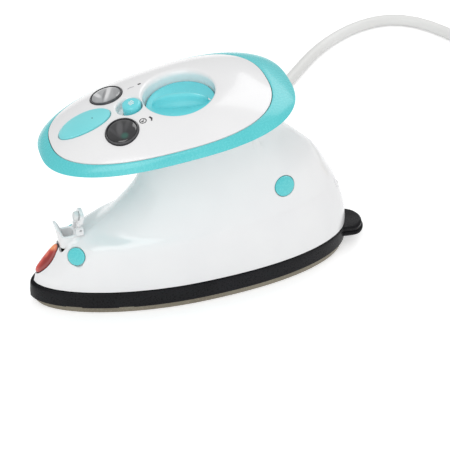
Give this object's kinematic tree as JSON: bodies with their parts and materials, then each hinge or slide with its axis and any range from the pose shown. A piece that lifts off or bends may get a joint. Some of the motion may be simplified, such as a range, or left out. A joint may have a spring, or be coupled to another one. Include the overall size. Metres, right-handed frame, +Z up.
{
  "type": "mini steam iron",
  "caption": "Travel steam iron with a pointed heated sole, an oval handle over a slim neck, a turning temperature dial, a steam button and a hinged water filler lid.",
  "frame": {"origin": "centre of the bounding box without the cord, on the plane the sole rests on", "axes": "+Z up, the nose towards -X, the heel tab towards +X, symmetric about the XZ plane except the cord outlet on the +Y flank"},
  "size_m": [0.3362, 0.1851, 0.0893],
  "materials": {
    "champagne_coat": "satin champagne non-stick coat",
    "black_plastic": "black moulded plastic, soft sheen",
    "white_plastic": "glossy white moulded plastic",
    "teal_plastic": "glossy teal moulded plastic",
    "teal_rubber": "teal silicone rubber",
    "red_lens": "translucent red plastic",
    "smoked_lens": "smoked clear plastic",
    "dark_rim": "dark glossy bezel",
    "clear_plastic": "clear moulded plastic",
    "aluminium": "die-cast aluminium",
    "steel": "plain steel",
    "brass": "turned brass",
    "ceramic": "off-white ceramic",
    "board_green": "green circuit board",
    "led_green": "green lamp resin",
    "led_amber": "amber lamp resin",
    "grey_rubber": "grey silicone rubber",
    "cord_white": "white flexible cord sheath"
  },
  "bodies": {
    "iron": {"body_left_shell": "white_plastic", "body_right_shell": "white_plastic", "cap_front_left": "teal_plastic", "cap_front_right": "teal_plastic", "cap_rear_left": "teal_plastic", "cap_rear_right": "teal_plastic", "chamber_lid": "steel", "cord": "cord_white", "cord_clamp": "black_plastic", "cord_coil": "cord_white", "cord_gland": "cord_white", "cord_tie": "black_plastic", "drip_valve": "brass", "filler_hinge_pin": "steel", "filler_spout": "white_plastic", "front_housing_screw": "steel", "handle_base": "teal_plastic", "handle_cover": "white_plastic", "handle_screw_left": "steel", "handle_screw_right": "steel", "heat_skirt": "black_plastic", "heating_casting": "aluminium", "heating_element": "steel", "indicator_board": "board_green", "indicator_led_left": "led_green", "indicator_led_right": "led_amber", "nose_lamp": "led_amber", "nose_lens": "red_lens", "nose_lens_rim": "dark_rim", "plug_blade_left": "brass", "plug_blade_right": "brass", "plug_body": "cord_white", "pump_spring": "steel", "rear_housing_screw": "steel", "rear_screw": "steel", "soleplate": "champagne_coat", "steam_hose": "grey_rubber", "steam_pump": "clear_plastic", "terminal_block": "ceramic", "thermal_fuse": "steel", "thermostat": "ceramic", "thermostat_bracket": "steel", "thumb_rest": "teal_plastic", "water_tank": "clear_plastic", "window_lens_left": "smoked_lens", "window_lens_right": "smoked_lens", "window_rim_left": "dark_rim", "window_rim_right": "dark_rim"},
    "dial": {"temperature_dial": "teal_plastic", "dial_spindle": "steel"},
    "button": {"steam_button": "teal_plastic", "pump_piston": "grey_rubber"},
    "filler_cover": {"filler_lid": "white_plastic", "filler_plug": "teal_rubber"}
  },
  "joints": [
    {"name": "dial_turn", "type": "hinge", "parent": "iron", "child": "dial", "pos_m": [-0.00416, 0, 0.07967], "axis": [-0.1305, 0, 0.9914], "range_deg": [-135, 135]},
    {"name": "steam_press", "type": "slide", "parent": "iron", "child": "button", "axis": [0.1305, 0, -0.9914], "range_m": [0, 0.002], "stiffness_N_per_m": 600, "deforming": ["pump_spring"]},
    {"name": "filler_lid_swing", "type": "hinge", "parent": "iron", "child": "filler_cover", "pos_m": [-0.0479, 0, 0.0338], "axis": [0, -1, 0], "range_deg": [0, 97]}
  ]
}
